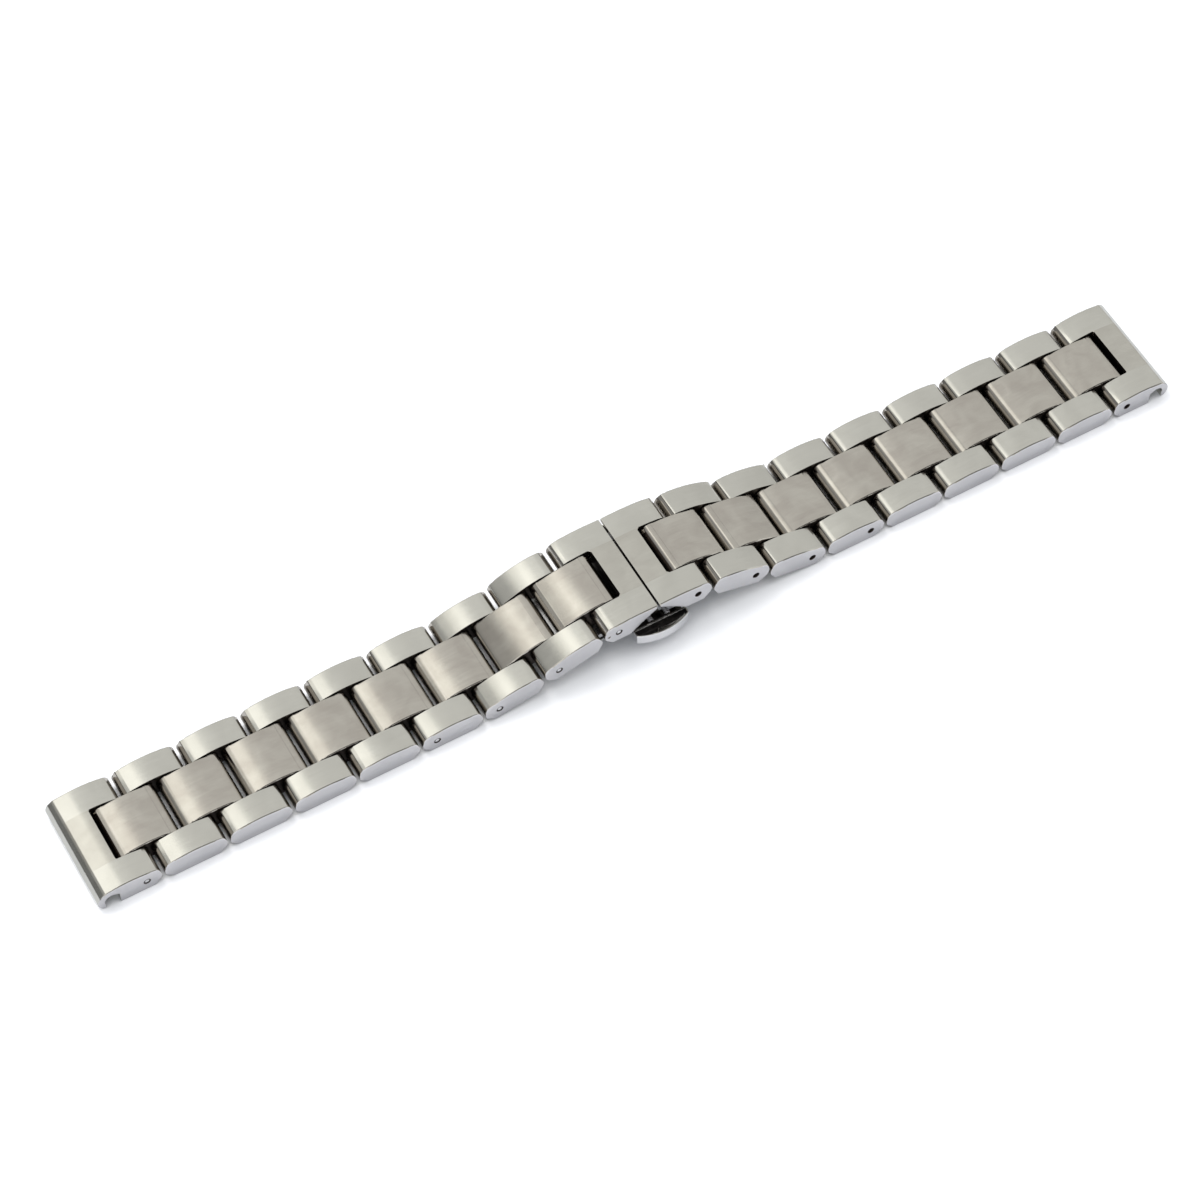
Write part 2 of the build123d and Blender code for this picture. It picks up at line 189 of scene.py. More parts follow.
steelFinishes = {
    "outerTop": {"light": (0.70, 0.69, 0.625), "dark": (0.61, 0.60, 0.54), "roughness": (0.19, 0.25),
                 "grain": "xyz", "lineWidth": 0.07, "lineLength": 5.0, "patch": 5.5, "bump": 0.008,
                 "anisotropy": 0.45, "wearAndSheen": (0.78, 0.77, 0.72)},
    "outerSide": {"light": (0.70, 0.69, 0.70), "dark": (0.63, 0.62, 0.63), "roughness": (0.26, 0.36),
                  "grain": "xzy", "lineWidth": 0.08, "lineLength": 6.0, "patch": 4.0, "bump": 0.008,
                  "anisotropy": 0.4, "wearAndSheen": (0.84, 0.84, 0.84)},
    "centreTop": {"light": (0.63, 0.605, 0.535), "dark": (0.50, 0.465, 0.41), "roughness": (0.18, 0.24),
                  "grain": "xyz", "lineWidth": 0.05, "lineLength": 4.0, "patch": 4.0, "bump": 0.008,
                  "anisotropy": 0.5, "wearAndSheen": (0.70, 0.68, 0.62)},
    "endBand": {"light": (0.66, 0.645, 0.575), "dark": (0.56, 0.54, 0.48), "roughness": (0.20, 0.27),
                "grain": "xyz", "lineWidth": 0.05, "lineLength": 4.0, "patch": 4.0, "bump": 0.008,
                "anisotropy": 0.5, "wearAndSheen": (0.74, 0.72, 0.66)},
    "polishedEnd": {"light": (0.60, 0.57, 0.52), "dark": (0.48, 0.455, 0.41), "roughness": (0.09, 0.14),
                    "grain": "yxz", "lineWidth": 0.10, "lineLength": 3.0, "patch": 3.0, "bump": 0.003,
                    "anisotropy": 0.2, "wearAndSheen": (0.60, 0.59, 0.55)},
    "outerFace": {"light": (0.62, 0.615, 0.57), "dark": (0.53, 0.525, 0.48), "roughness": (0.14, 0.20),
                  "grain": "yxz", "lineWidth": 0.08, "lineLength": 5.0, "patch": 4.0, "bump": 0.004,
                  "anisotropy": 0.3, "wearAndSheen": (0.76, 0.75, 0.71)},
    # Dark: painted shade on the steepest part of each nose, deep in the gap.
    "noseShade": {"light": (0.40, 0.37, 0.325), "dark": (0.26, 0.24, 0.21), "roughness": (0.20, 0.30),
                  "grain": "yxz", "lineWidth": 0.10, "lineLength": 3.0, "patch": 3.0, "bump": 0.004,
                  "anisotropy": 0.2, "wearAndSheen": (0.30, 0.29, 0.27)},
    # Near black: a thin painted dark reflection on the outer links' shoulders.
    "noseLine": {"light": (0.12, 0.11, 0.095), "dark": (0.07, 0.062, 0.055), "roughness": (0.25, 0.35),
                 "grain": "yxz", "lineWidth": 0.10, "lineLength": 3.0, "patch": 3.0, "bump": 0.004,
                 "anisotropy": 0.2, "wearAndSheen": (0.16, 0.15, 0.14)},
    # Near black: painted shade for faces in gaps, pin holes, slot ends and under the arches.
    "gapWall": {"light": (0.10, 0.085, 0.075), "dark": (0.055, 0.042, 0.038), "roughness": (0.28, 0.40),
                "grain": "xyz", "lineWidth": 0.10, "lineLength": 2.0, "patch": 3.0, "bump": 0.006,
                "anisotropy": 0.2, "wearAndSheen": (0.22, 0.20, 0.18)},
    "claspPlate": {"light": (0.60, 0.60, 0.60), "dark": (0.50, 0.50, 0.50), "roughness": (0.22, 0.30),
                   "grain": "xyz", "lineWidth": 0.06, "lineLength": 4.0, "patch": 5.0, "bump": 0.006,
                   "anisotropy": 0.5, "wearAndSheen": (0.75, 0.75, 0.75)},
    "buttonSteel": {"light": (0.86, 0.855, 0.86), "dark": (0.78, 0.775, 0.78), "roughness": (0.16, 0.24),
                    "grain": "xyz", "lineWidth": 0.08, "lineLength": 2.5, "patch": 2.5, "bump": 0.004,
                    "anisotropy": 0.2, "wearAndSheen": (0.82, 0.82, 0.82)},
    # Bright: a painted highlight on the buttons' upward faces and on the lip inside the rim.
    "buttonRim": {"light": (0.92, 0.905, 0.85), "dark": (0.82, 0.80, 0.74), "roughness": (0.12, 0.20),
                  "grain": "xyz", "lineWidth": 0.08, "lineLength": 1.5, "patch": 1.0, "bump": 0.004,
                  "anisotropy": 0.2, "wearAndSheen": (0.95, 0.94, 0.90)},
    # Near black: painted shade inside the buttons' hollows and on the pieces behind them.
    "buttonHollow": {"light": (0.10, 0.09, 0.085), "dark": (0.045, 0.04, 0.038), "roughness": (0.18, 0.30),
                     "grain": "xyz", "lineWidth": 0.10, "lineLength": 2.0, "patch": 1.2, "bump": 0.02,
                     "anisotropy": 0.1, "wearAndSheen": (0.45, 0.44, 0.42)},
    "pinSteel": {"light": (0.80, 0.80, 0.80), "dark": (0.70, 0.70, 0.70), "roughness": (0.12, 0.18),
                 "grain": "yxz", "lineWidth": 0.05, "lineLength": 2.0, "patch": 1.0, "bump": 0.002,
                 "anisotropy": 0.0, "wearAndSheen": (0.85, 0.85, 0.85)},
    # Near black: painted shade on the pin ends' chamfers.
    "pinGroove": {"light": (0.07, 0.065, 0.06), "dark": (0.035, 0.03, 0.03), "roughness": (0.30, 0.40),
                  "grain": "yxz", "lineWidth": 0.05, "lineLength": 2.0, "patch": 0.5, "bump": 0.002,
                  "anisotropy": 0.0, "wearAndSheen": (0.30, 0.30, 0.30)},
    "springSteel": {"light": (0.50, 0.50, 0.52), "dark": (0.38, 0.38, 0.40), "roughness": (0.24, 0.34),
                    "grain": "xyz", "lineWidth": 0.05, "lineLength": 1.5, "patch": 1.0, "bump": 0.004,
                    "anisotropy": 0.2, "wearAndSheen": (0.65, 0.65, 0.66)},
}
# How every finish mixes: the shares of patches and streaks in the colour, how much the edge mask lightens (rubbed
# wear and a painted highlight) and how much wear polishes, the scratches' strength, and a quarter turn that runs
# the highlights across the brushing.
steelMix = {"patch": 0.6, "streak": 0.4, "wearAndSheenTint": 0.6, "wearPolish": 0.05, "bump": 0.35, "turn": 0.25}


def steelMaterial(name, finish):
    material, tree = newMaterial(name)
    shader = tree.nodes["Principled BSDF"]
    shader.inputs["Metallic"].default_value = 1.0
    shader.inputs["Anisotropic"].default_value = finish["anisotropy"]
    shader.inputs["Anisotropic Rotation"].default_value = steelMix["turn"]
    tangent = addNode(tree, "Tangent", {"direction_type": "UV_MAP", "uv_map": "grain"}).outputs[0]
    feed(tree, shader, "Tangent", tangent)
    place = addNode(tree, "Attribute", {"attribute_name": "place"}).outputs["Vector"]
    seed = addNode(tree, "ObjectInfo").outputs["Random"]
    parts = addNode(tree, "SeparateXYZ", None, Vector=place).outputs
    order = {axis.upper(): parts[source.upper()] for axis, source in zip("xyz", finish["grain"])}
    turned = addNode(tree, "CombineXYZ", None, **order).outputs[0]
    brushing = useGroup(tree, fineBrushing, Place=turned, Seed=seed, Line_Length=finish["lineLength"],
                        Line_Width=finish["lineWidth"])
    patch = useGroup(tree, cloudyTone, Place=place, Seed=seed, Patch_Size=finish["patch"])["Patch"]
    wearAndSheenMask = useGroup(tree, edgeWearAndSheen, Place=place)["Mask"]
    blend = maths(tree, "ADD", maths(tree, "MULTIPLY", patch, steelMix["patch"]),
                  maths(tree, "MULTIPLY", brushing["Streak"], steelMix["streak"]))
    base = addNode(tree, "Mix", {"data_type": "RGBA"}, i0=blend, i6=(*finish["dark"], 1), i7=(*finish["light"], 1))
    colour = addNode(tree, "Mix", {"data_type": "RGBA"}, i0=maths(tree, "MULTIPLY", wearAndSheenMask, steelMix["wearAndSheenTint"]),
                     i6=base.outputs[2], i7=(*finish["wearAndSheen"], 1))
    feed(tree, shader, "Base Color", colour.outputs[2])
    low, high = finish["roughness"]
    roughness = maths(tree, "SUBTRACT", spread(tree, brushing["Streak"], low, high),
                      maths(tree, "MULTIPLY", wearAndSheenMask, steelMix["wearPolish"]))
    feed(tree, shader, "Roughness", roughness)
    bump = addNode(tree, "Bump", None, Height=brushing["Height"], Strength=steelMix["bump"],
                   Distance=finish["bump"] * mm)
    feed(tree, shader, "Normal", bump.outputs[0])
    return material


steels = {name: steelMaterial(name, finish) for name, finish in steelFinishes.items()}
print("materials made:", len(steels))


# Dressed steel pieces. Each one is a copy of its CAD solid whose edges are rounded as a polished edge is,
# and whose faces get the finish of the side that they are on, with painted shade on faces in gaps and holes and a
# painted dark reflection on the outer links' shoulders. Angles are in degrees. Up, across and side are how far a
# normal points that way.

edgeRounding = {"weld": 0.002, "flat": 0.6, "sharp": 27.0, "width": 0.08, "steps": 2, "profile": 0.5,
                "normalWeight": 80, "shoulderAngles": (12.0, 48.0), "shoulderUp": 0.50, "shoulderAcross": 0.2,
                "shoulderSteps": 5, "grainSide": 0.7}


def linkTilt(node):    # the angle of a link's length below the ground plane's x, from the pins at its ends
    parts = node.split("_")
    if parts[0] not in ("centre", "outer"):
        return 0.0
    hand, number = parts[2], 2 * int(parts[3]) - (1 if parts[0] == "centre" else 0)
    run = hinges[f"link_hinge_{hand}_{number + 1}"] - hinges[f"link_hinge_{hand}_{number}"]
    return math.atan2(run.z, run.x) if hand == "right" else math.atan2(-run.z, -run.x)


def dissolveFlat(bm, degrees):
    bmesh.ops.dissolve_limit(bm, angle_limit=math.radians(degrees), verts=bm.verts, edges=bm.edges, delimit=set())
    bm.normal_update()


def roundEdges(bm, edges, width, steps):
    bmesh.ops.bevel(bm, geom=edges, offset=width * mm, offset_type="OFFSET", segments=steps,
                    profile=edgeRounding["profile"], affect="EDGES", clamp_overlap=False, miter_outer="SHARP",
                    miter_inner="SHARP")
    bm.normal_update()


def isShoulder(edge, turn):    # the soft edge between a link's top face and its slanted end
    if len(edge.link_faces) != 2:
        return False
    first, second = (turn @ face.normal for face in edge.link_faces)
    low, high = edgeRounding["shoulderAngles"]
    return (low < math.degrees(edge.calc_face_angle(0.0)) < high
            and min(first.z, second.z) > edgeRounding["shoulderUp"]
            and abs(first.y - second.y) < edgeRounding["shoulderAcross"])


def isSharp(edge):
    return len(edge.link_faces) == 2 and edge.calc_face_angle(0.0) > math.radians(edgeRounding["sharp"])


# The top of each nose, filled out to a crisper corner inside the circle that its tip turns in. Points are reach
# towards the link's end and height, in millimetres from the pin: where the crown ended, the new corner, and
# where the round nose started. From the new corner to the crown the top bulges a little, over four bends.
# Slack and margin are angles in radians.
noseFill = {"crownEnd": (0.65, 1.84), "corner": (1.78, 1.568), "noseStart": (1.95, 1.05), "tip": 2.40,
            "oldDrop": 0.185, "newDrop": 0.028, "bulge": 0.037, "bends": (0.0, 0.28, 0.52, 0.76),
            "clearOfBore": 1.2, "flat": 2.0, "side": 0.9, "slack": 0.02, "margin": 0.001}


def rayReach(angle, first, last):    # from the pin to the line through two points
    ray = (math.cos(angle), math.sin(angle))
    run = (last[0] - first[0], last[1] - first[1])
    return (first[0] * run[1] - first[1] * run[0]) / (ray[0] * run[1] - ray[1] * run[0])


def fillNose(bm, pin, way, turn):
    crownEnd, corner, noseStart = noseFill["crownEnd"], noseFill["corner"], noseFill["noseStart"]
    lowest, cut, highest = (math.atan2(spot[1], spot[0]) for spot in (noseStart, corner, crownEnd))
    back = turn.transposed()

    def polar(vert):
        spot = turn @ (vert.co - pin) / mm
        return math.hypot(spot.x, spot.z), math.atan2(spot.z, spot.x * way)

    def onNose(vert):
        reach, angle = polar(vert)
        return reach > noseFill["clearOfBore"] and lowest - noseFill["slack"] < angle < highest + noseFill["slack"]

    def oldReach(angle):
        if angle > lowest:
            return rayReach(angle, crownEnd, noseStart)
        return noseFill["tip"] - noseFill["oldDrop"] * (angle / lowest) ** 2

    def newReach(angle):
        if angle > cut:
            part = (angle - cut) / (highest - cut)
            return rayReach(angle, crownEnd, corner) + 4 * noseFill["bulge"] * part * (1 - part)
        return noseFill["tip"] - noseFill["newDrop"] * angle / cut

    for bend in noseFill["bends"]:
        angle = cut + (highest - cut) * bend
        faces = [face for face in bm.faces
                 if abs(face.normal.y) < noseFill["side"] and all(onNose(vert) for vert in face.verts)]
        edges = {edge for face in faces for edge in face.edges}
        verts = {vert for face in faces for vert in face.verts}
        level = back @ Vector((-math.sin(angle) * way, 0, math.cos(angle)))
        bmesh.ops.bisect_plane(bm, geom=list(verts) + list(edges) + faces, plane_co=pin, plane_no=level)
    for vert in bm.verts:
        reach, angle = polar(vert)
        if reach > noseFill["clearOfBore"] and 0.0 < angle < highest - noseFill["margin"]:
            across = vert.co.y
            vert.co = pin + (vert.co - pin) * (newReach(angle) / oldReach(angle))
            vert.co.y = across


# The outer edge of a lug end's top, brought nearer to its outer face. Reach and height are from the end's pin.
lugCorner = {"at": (5.90, 1.84), "near": 0.24, "shift": (0.65, -0.08)}


def fillLugCorner(bm, pin, way):
    (reach, height), (along, up) = lugCorner["at"], lugCorner["shift"]
    for vert in bm.verts:
        spot = (vert.co - pin) / mm
        if math.hypot(spot.x * way - reach, spot.z - height) < lugCorner["near"]:
            vert.co += Vector((along * way, 0, up)) * mm


def cutAlong(bm, offset):    # a line along the band where one finish ends
    geometry = list(bm.verts) + list(bm.edges) + list(bm.faces)
    bmesh.ops.bisect_plane(bm, geom=geometry, plane_co=(0, offset * mm, 0), plane_no=(0, 1, 0))
    bm.normal_update()


def addGrain(bm, toPlace, isSideways):    # stores where each point lies on the piece, for the steel's grain
    place = bm.verts.layers.float_vector.new("place")
    grain = bm.loops.layers.uv.new("grain")
    for vert in bm.verts:
        vert[place] = toPlace(vert.co)
    for face in bm.faces:
        face.smooth = True
        for loop in face.loops:
            spot = loop.vert[place]
            loop[grain].uv = (spot.x, spot.z) if isSideways(face) else (spot.x, spot.y)


def dress(node, pickFinish, style):
    turn = Matrix.Rotation(linkTilt(node), 3, "Y")    # turns a tilted link level
    mesh = frame["nodes"][node].data.copy()
    mesh.name = node + "_dressed"
    bm = bmesh.new()
    bm.from_mesh(mesh)
    bmesh.ops.remove_doubles(bm, verts=bm.verts, dist=edgeRounding["weld"] * mm)
    dissolveFlat(bm, edgeRounding["flat"])
    low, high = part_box(node)
    middle = (low + high) / 2
    pins = [hinge for hinge in hinges.values() if low.x < hinge.x < high.x and low.z < hinge.z < high.z]
    if node in ("lug_end_left", "lug_end_right"):
        fillLugCorner(bm, pins[0], -1 if node.endswith("left") else 1)
    if "shoulder" in style:
        for pin in pins:
            fillNose(bm, pin, 1 if (turn @ (pin - middle)).x > 0 else -1, turn)
        dissolveFlat(bm, noseFill["flat"])
        soft = [edge for edge in bm.edges if isShoulder(edge, turn)]
        roundEdges(bm, soft, style["shoulder"], edgeRounding["shoulderSteps"])
    roundEdges(bm, [edge for edge in bm.edges if isSharp(edge)], edgeRounding["width"], edgeRounding["steps"])
    for offset in style.get("cuts", ()):
        cutAlong(bm, offset)
    picked = [pickFinish(turn @ face.normal, face.calc_center_median(), pins, style) for face in bm.faces]
    names = sorted(set(picked))
    addGrain(bm, lambda spot: turn @ (spot - middle) / mm,
             lambda face: abs(face.normal.y) > edgeRounding["grainSide"])
    for face, name in zip(bm.faces, picked):
        face.material_index = names.index(name)
    mesh.materials.clear()
    for name in names:
        mesh.materials.append(steels[name])
    bm.to_mesh(mesh)
    bm.free()
    piece = addObject(node + "_steel", mesh)
    weighted = piece.modifiers.new("faceNormals", "WEIGHTED_NORMAL")
    weighted.keep_sharp = True
    weighted.weight = edgeRounding["normalWeight"]
    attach(piece, bodyOfNode[node])
    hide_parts(node)


# The bands: links, clasp ends and lug ends. Distances are in millimetres, and the other limits are how
# far a normal has to point one way.

bandLimits = {"slot": 4.66, "nearSide": 8.6, "boreReach": 0.59, "boreSide": 0.985, "archDown": 0.3, "side": 0.85,
              "top": 0.80, "noseLine": (0.62, 0.71), "lineUp": 0.5, "outerSteep": 0.5, "slotEnd": 0.9,
              "deepNose": 0.91}
beyondAll = 1000.0    # farther along the band than any piece
bandStyles = {
    "outer": {"top": "outerTop", "middle": "outerTop", "side": "outerSide", "end": "polishedEnd",
              "ownSlot": False, "outerFrom": beyondAll, "archReach": 0.0, "shoulder": 0.24},
    "end": {"top": "outerTop", "middle": "endBand", "side": "outerSide", "end": "polishedEnd",
            "ownSlot": True, "outerFrom": 89.0, "archReach": 4.7, "shoulder": 0.24,
            "cuts": (-bandLimits["slot"], bandLimits["slot"])},
    # The centre links' sides, hidden between the outer links, get painted shade.
    "centre": {"top": "centreTop", "middle": "centreTop", "side": "gapWall", "end": "polishedEnd",
               "ownSlot": False, "outerFrom": beyondAll, "archReach": 0.0, "shoulder": 0.27},
}


def isBore(spot, pins):    # a face in a pin's hole, by its distance from the pin's line
    return any(math.hypot(spot.x - pin.x, spot.z - pin.z) < bandLimits["boreReach"] * mm for pin in pins)


def bandFinish(normal, spot, pins, style):
    limits = bandLimits
    along, across = abs(spot.x) / mm, abs(spot.y) / mm
    inSlot, atEnd = across < limits["slot"], along > style["outerFrom"]
    # Faces in pin holes, under the arches, on the inner sides and on the slot ends get painted shade.
    if isBore(spot, pins) and abs(normal.y) < limits["boreSide"]:
        return "gapWall"
    if normal.z < -limits["archDown"] and along < style["archReach"]:
        return "gapWall"
    if abs(normal.y) > limits["side"]:
        return style["side"] if across > limits["nearSide"] else "gapWall"
    # A narrow band of tilts on the outer links' shoulders gets a painted dark reflection line.
    first, last = limits["noseLine"]
    onShoulder = normal.z > limits["lineUp"] and first < abs(normal.x) < last
    if onShoulder and style["top"] == "outerTop" and not inSlot and not atEnd:
        return "noseLine"
    if abs(normal.z) > limits["top"]:
        return style["middle"] if inSlot else style["top"]
    if atEnd and abs(normal.x) > limits["outerSteep"]:
        return "outerFace"
    if abs(normal.x) > limits["slotEnd"] and inSlot and style["ownSlot"]:
        return "gapWall"
    # The steepest nose faces, deep in the gaps, get painted shade.
    return "noseShade" if abs(normal.x) > limits["deepNose"] else style["end"]


for node in sorted(frame["nodes"]):
    if node in ("lug_end_left", "lug_end_right", "clasp_end_left", "clasp_end_right"):
        dress(node, bandFinish, bandStyles["end"])
    elif node.startswith("outer_links"):
        dress(node, bandFinish, bandStyles["outer"])
    elif node.startswith("centre_link"):
        dress(node, bandFinish, bandStyles["centre"])
print("bands dressed")


# The clasp and the loose pins. The button's outline, in millimetres: how far it bulges past the band's side,
# where along the band that is greatest, how fast it falls off, the rim's thickness, and the hollow inside it.

buttonShape = {"side": 9.0, "bulge": 1.7, "fall": 1.1, "middle": 0.43, "half": 4.5, "rim": 0.2,
               "hollow": (-3.95, 4.8), "inside": -0.28, "floor": 3.5, "top": 5.07, "rimUp": 0.6}
pinLimits = {"end": 0.95, "lit": 0.55}


def rimReach(along):    # from the band's side to the inside of the rim
    shape = buttonShape
    return shape["bulge"] - shape["fall"] * ((along - shape["middle"]) / shape["half"]) ** 2 - shape["rim"]


def inHollow(spot):    # within the near or the far button's rim
    first, last = buttonShape["hollow"]
    along = spot.x if spot.y < 0 else -spot.x
    return (first < along < last and buttonShape["floor"] < spot.z < buttonShape["top"]
            and buttonShape["inside"] < abs(spot.y) - buttonShape["side"] < rimReach(along))


def buttonFinish(normal, spot, pins, style):
    # Faces inside the rim get painted shade.
    if inHollow(spot / mm):
        return "buttonHollow"
    # Faces that look up get a painted highlight.
    return "buttonRim" if normal.z > buttonShape["rimUp"] else "buttonSteel"


def pinFinish(normal, spot, pins, style):
    if abs(normal.y) > pinLimits["end"]:
        return "pinSteel"
    # A pin end deep inside the band gets painted shade.
    if abs(spot.y) < bandLimits["nearSide"] * mm:
        return "gapWall"
    # A pin's chamfer stays light where it faces +x and gets painted shade elsewhere.
    return "pinSteel" if normal.x > pinLimits["lit"] else "pinGroove"


def plainFinish(normal, spot, pins, style):
    return style["all"]


for node in sorted(frame["nodes"]):
    if frame["nodes"][node].hide_render:    # dressed above
        continue
    if node in ("button_near", "button_far"):
        dress(node, buttonFinish, {})
    elif "pin" in node and "hinge" not in node:
        dress(node, pinFinish, {})
    else:
        dress(node, plainFinish, {"all": "springSteel" if "spring" in node else "claspPlate"})
print("clasp dressed")


# Behind each button, and seen below the clasp's arch: a tray, a seat, a lip along the inside of the rim and
# two small coil springs. The tray and seat are near black as painted shade, and the lip is bright as a painted
# highlight. Millimetres from the seam; the far button has the same, turned half a turn.

buttonBack = {"tray": ((-3.9, -8.45, 3.75), (4.75, -7.05, 3.95)),
              "seat": ((-1.6, -8.45, 4.78), (2.45, -7.05, 5.02)), "corner": 0.08, "cornerSteps": 2,
              "lip": (-0.15, 4.35), "lipWidths": (0.60, 0.30), "lipLevels": (4.70, 5.05), "lipTuck": 0.05,
              "lipSteps": 12, "coilAt": (-0.99, 1.85), "coilHeight": 5.48, "coilRadius": 0.34,
              "coilEnds": (-8.38, -7.18), "turns": 3.5, "stepsPerTurn": 18, "wire": 0.10, "wireSides": 8}


def buttonPiece(name, bm, button, finish):
    mesh = bpy.data.meshes.new(name)
    if button == "button_far":
        bm.transform(Matrix.Rotation(math.pi, 4, "Z"))
    addGrain(bm, lambda spot: spot / mm, lambda face: False)
    bm.to_mesh(mesh)
    bm.free()
    mesh.materials.append(steels[finish])
    piece = addObject(name, mesh)
    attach(piece, bodyOfNode[button])


def plateMesh(low, high):
    bm = bmesh.new()
    size = [(b - a) * mm for a, b in zip(low, high)]
    centre = [(a + b) / 2 * mm for a, b in zip(low, high)]
    bmesh.ops.create_cube(bm, size=1.0, matrix=Matrix.Translation(centre) @ Matrix.Diagonal((*size, 1.0)))
    bmesh.ops.bevel(bm, geom=list(bm.edges), offset=buttonBack["corner"] * mm, offset_type="OFFSET",
                    segments=buttonBack["cornerSteps"], profile=edgeRounding["profile"], affect="EDGES")
    return bm


def lipMesh():
    (first, last), (wide, narrow), (low, high) = (buttonBack[name] for name in ("lip", "lipWidths", "lipLevels"))
    outer, inner = [], []
    for step in range(buttonBack["lipSteps"] + 1):
        part = step / buttonBack["lipSteps"]
        along = first + (last - first) * part
        edge = -buttonShape["side"] - rimReach(along)
        outer.append((along, edge - buttonBack["lipTuck"]))
        inner.append((along, edge + wide + (narrow - wide) * part))
    bm = bmesh.new()
    outline = [bm.verts.new((x * mm, y * mm, low * mm)) for x, y in outer + inner[::-1]]
    made = bmesh.ops.extrude_face_region(bm, geom=[bm.faces.new(outline)])["geom"]
    for vert in (part for part in made if isinstance(part, bmesh.types.BMVert)):
        vert.co.z = high * mm
    bmesh.ops.recalc_face_normals(bm, faces=bm.faces)
    return bm


def coilMesh(centreX):    # a wire wound round a line along y, with closed ends
    bm = bmesh.new()
    start, end = buttonBack["coilEnds"]
    steps, sides = int(buttonBack["turns"] * buttonBack["stepsPerTurn"]), buttonBack["wireSides"]
    forwards = Vector((0, 1, 0))
    rings = []
    for step in range(steps + 1):
        part = step / steps
        turn = 2 * math.pi * buttonBack["turns"] * part
        outwards = Vector((math.cos(turn), 0, math.sin(turn)))
        middle = Vector((centreX, start + (end - start) * part, buttonBack["coilHeight"]))
        middle += outwards * buttonBack["coilRadius"]
        ring = []
        for side in range(sides):
            angle = 2 * math.pi * side / sides
            spot = middle + (outwards * math.cos(angle) + forwards * math.sin(angle)) * buttonBack["wire"]
            ring.append(bm.verts.new(spot * mm))
        rings.append(ring)
    for first, second in zip(rings, rings[1:]):
        for side in range(sides):
            other = (side + 1) % sides
            bm.faces.new((first[side], first[other], second[other], second[side]))
    bm.faces.new(rings[0][::-1])
    bm.faces.new(rings[-1])
    bmesh.ops.recalc_face_normals(bm, faces=bm.faces)
    return bm


for button in ("button_near", "button_far"):
    buttonPiece(button + "_tray", plateMesh(*buttonBack["tray"]), button, "buttonHollow")
    buttonPiece(button + "_seat", plateMesh(*buttonBack["seat"]), button, "buttonHollow")
    buttonPiece(button + "_lip", lipMesh(), button, "buttonRim")
    for number, centreX in enumerate(buttonBack["coilAt"], 1):
        buttonPiece(f"{button}_coil_{number}", coilMesh(centreX), button, "springSteel")
print("button springs made")


# The floor, which is lifted to white for the camera except close to the bracelet, where the lift fades and paints
# a deeper shadow. Half is in metres, the distances are in millimetres.

paleFloor = {"half": 2.0, "drop": 0.02, "grain": 40.0, "tones": ((0.895, 0.90, 0.915), (0.905, 0.91, 0.925)),
             "roughness": 0.9, "specular": 0.1, "cameraLift": 0.38, "glossyLift": 0.08, "shadeReach": 14.0,
             "shade": (0.28, 0.58), "samples": 8}


def makeFloor():
    mesh = rectangle("floor", paleFloor["half"], paleFloor["half"])
    floor = addObject("floor", mesh)
    floor.location.z = -paleFloor["drop"] * mm
    material, tree = newMaterial("paleFloor")
    shader = tree.nodes["Principled BSDF"]
    grain = addNode(tree, "TexNoise", None, Scale=paleFloor["grain"], Detail=3.0)
    darker, lighter = paleFloor["tones"]
    tone = addNode(tree, "Mix", {"data_type": "RGBA"}, i0=grain.outputs["Fac"], i6=(*darker, 1), i7=(*lighter, 1))
    feed(tree, shader, "Base Color", tone.outputs[2])
    shader.inputs["Roughness"].default_value = paleFloor["roughness"]
    shader.inputs["Specular IOR Level"].default_value = paleFloor["specular"]
    rays = addNode(tree, "LightPath").outputs
    seen = maths(tree, "ADD", maths(tree, "MULTIPLY", rays["Is Camera Ray"], paleFloor["cameraLift"]),
                 maths(tree, "MULTIPLY", rays["Is Glossy Ray"], paleFloor["glossyLift"]))
    # The lift fades where the bracelet is near, which paints a contact shadow.
    openness = addNode(tree, "AmbientOcclusion", {"samples": paleFloor["samples"]},
                       Distance=paleFloor["shadeReach"] * mm).outputs["AO"]
    clear = contrast(tree, openness, paleFloor["shade"], {"interpolation_type": "SMOOTHSTEP"})
    lift = addNode(tree, "Emission", None, Color=(1, 1, 1, 1), Strength=maths(tree, "MULTIPLY", seen, clear))
    both = addNode(tree, "AddShader", None, i0=shader.outputs[0], i1=lift.outputs[0])
    tree.links.new(both.outputs[0], tree.nodes["Material Output"].inputs["Surface"])
    mesh.materials.append(material)


# The world is white to the camera and in reflections. The light that it gives is brighter from above and behind.

studioWorld = {"fill": (0.91, 0.945, 1.0), "brightFrom": (-0.30, 0.50, 0.81), "slope": 0.25, "level": 0.55}


def makeWorld():
    world = bpy.data.worlds.new("studio")
    bpy.context.scene.world = world
    world.use_nodes = True
    tree = world.node_tree
    fill = tree.nodes["Background"]
    fill.inputs["Color"].default_value = (*studioWorld["fill"], 1)
    way = addNode(tree, "TexCoord").outputs["Generated"]
    facing = vectorMaths(tree, "DOT_PRODUCT", way, studioWorld["brightFrom"], "Value")
    level = maths(tree, "ADD", maths(tree, "MULTIPLY", facing, studioWorld["slope"]), studioWorld["level"])
    feed(tree, fill, "Strength", level)
    white = addNode(tree, "Background", None, Color=(1, 1, 1, 1), Strength=1.0)
    rays = addNode(tree, "LightPath").outputs
    seen = maths(tree, "ADD", maths(tree, "ADD", rays["Is Camera Ray"], rays["Is Glossy Ray"]),
                 rays["Is Transmission Ray"], clamp=True)
    mix = addNode(tree, "MixShader", None, Fac=seen, i1=fill.outputs[0], i2=white.outputs[0])
    tree.links.new(mix.outputs[0], tree.nodes["World Output"].inputs["Surface"])


# Lamps and cards. Directions go from the bracelet to the lamp or card, distances and sizes are in metres.

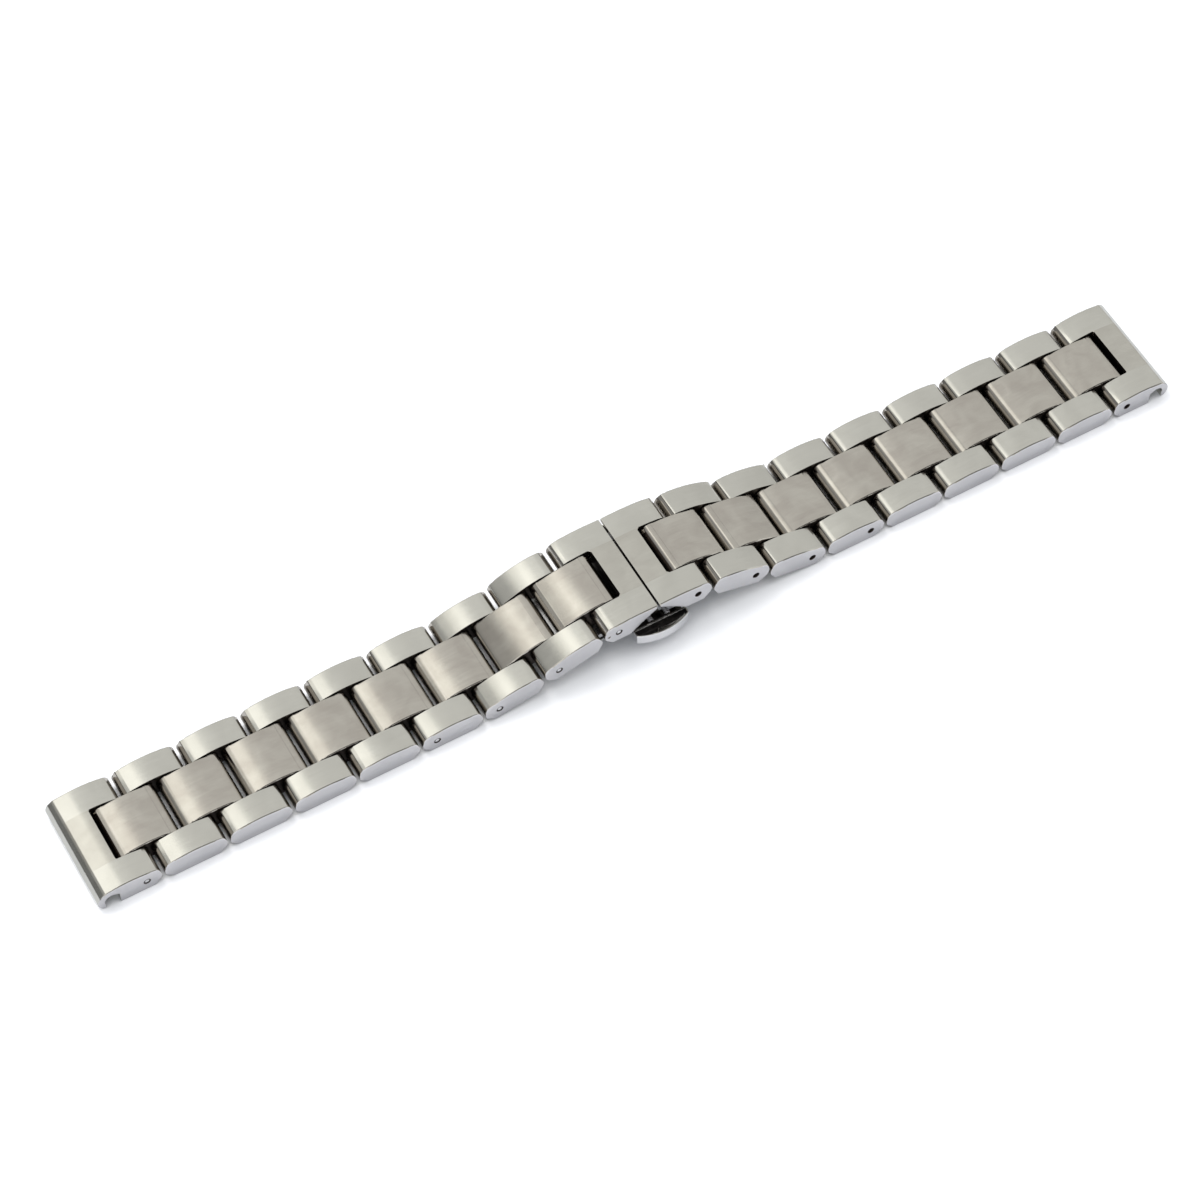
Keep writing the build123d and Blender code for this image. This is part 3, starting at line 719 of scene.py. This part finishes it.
studioLamps = {
    "stripSoftbox": {"direction": (-0.205, 0.4745, 0.856), "distance": 2.7, "size": (0.80, 2.7), "power": 4.2,
                     "colour": (1.0, 0.98, 0.92), "glossy": True},
    "keyLight": {"direction": (-0.20, 0.29, 0.94), "distance": 0.8, "size": (0.30, 0.30), "power": 2.0,
                 "colour": (1.0, 0.985, 0.96), "glossy": False},
}
# Grey cards that only show in reflections. Their tones are at the left and at the right edge.
studioCards = {
    "leftCard": {"direction": (-0.762, 0.4745, 0.44), "distance": 3.3, "size": (5.55, 6.6), "tones": (0.06, 0.58)},
    "topCard": {"direction": (0.054, 0.4745, 0.878), "distance": 3.3, "size": (1.35, 6.6), "tones": (0.86, 0.72)},
    "farCard": {"direction": (0.511, 0.4745, 0.716), "distance": 3.3, "size": (2.46, 6.6), "tones": (0.71, 0.69)},
    "frontCard": {"direction": (0.30, -0.62, 0.72), "distance": 3.0, "size": (3.3, 2.7), "tones": (0.06, 0.06)},
    "rightCard": {"direction": (0.80, 0.4745, 0.36), "distance": 3.6, "size": (1.32, 6.6), "tones": (0.68, 0.62)},
    "rightShade": {"direction": (0.86, 0.4745, -0.10), "distance": 3.6, "size": (2.70, 6.6), "tones": (0.80, 0.60)},
}


def makeLamp(name, direction, distance, size, power, colour, glossy):
    data = bpy.data.lights.new(name, "AREA")
    data.shape = "RECTANGLE"
    data.size, data.size_y = size
    data.energy = power
    data.color = colour
    lamp = addObject(name, data)
    aim = Vector(direction).normalized()
    lamp.location = aim * distance
    lamp.rotation_euler = aim.to_track_quat("Z", "Y").to_euler()
    lamp.visible_glossy = glossy


def makeCard(name, direction, distance, size, tones):
    mesh = rectangle(name, size[0] / 2, size[1] / 2)
    card = addObject(name, mesh)
    aim = Vector(direction).normalized()
    right = Vector((0, 1, 0)).cross(aim).normalized()    # the card's x runs along the band
    if right.x < 0:
        right.negate()
    axes = Matrix((right, aim.cross(right), aim)).transposed()
    card.matrix_world = Matrix.Translation(aim * distance) @ axes.to_4x4()
    material, tree = newMaterial(name)
    tree.nodes.remove(tree.nodes["Principled BSDF"])
    along = addNode(tree, "SeparateXYZ", None, Vector=addNode(tree, "TexCoord").outputs["Generated"]).outputs["X"]
    glow = addNode(tree, "Emission", None, Strength=spread(tree, along, tones[0], tones[1]))
    tree.links.new(glow.outputs[0], tree.nodes["Material Output"].inputs["Surface"])
    mesh.materials.append(material)
    card.visible_camera = card.visible_diffuse = card.visible_shadow = False


# The photo's view. The location is in millimetres, the angles are in degrees.

photoView = {"location": (-149.88, -253.19, 449.69), "lookDown": 56.85, "heading": 29.79, "lens": 106.4,
             "sensor": 36.0, "clip": (0.01, 10.0)}


def makeCamera():
    data = bpy.data.cameras.new("photoView")
    data.lens = photoView["lens"]
    data.sensor_width = photoView["sensor"]
    data.clip_start, data.clip_end = photoView["clip"]
    camera = addObject("photoView", data)
    camera.location = Vector(photoView["location"]) * mm
    camera.rotation_euler = (math.radians(90 - photoView["lookDown"]), 0, math.radians(-photoView["heading"]))
    bpy.context.scene.camera = camera


makeFloor()
makeWorld()
for name, lamp in studioLamps.items():
    makeLamp(name, **lamp)
for name, card in studioCards.items():
    makeCard(name, **card)
makeCamera()
bpy.context.scene.view_settings.view_transform = "Standard"
print("studio set")
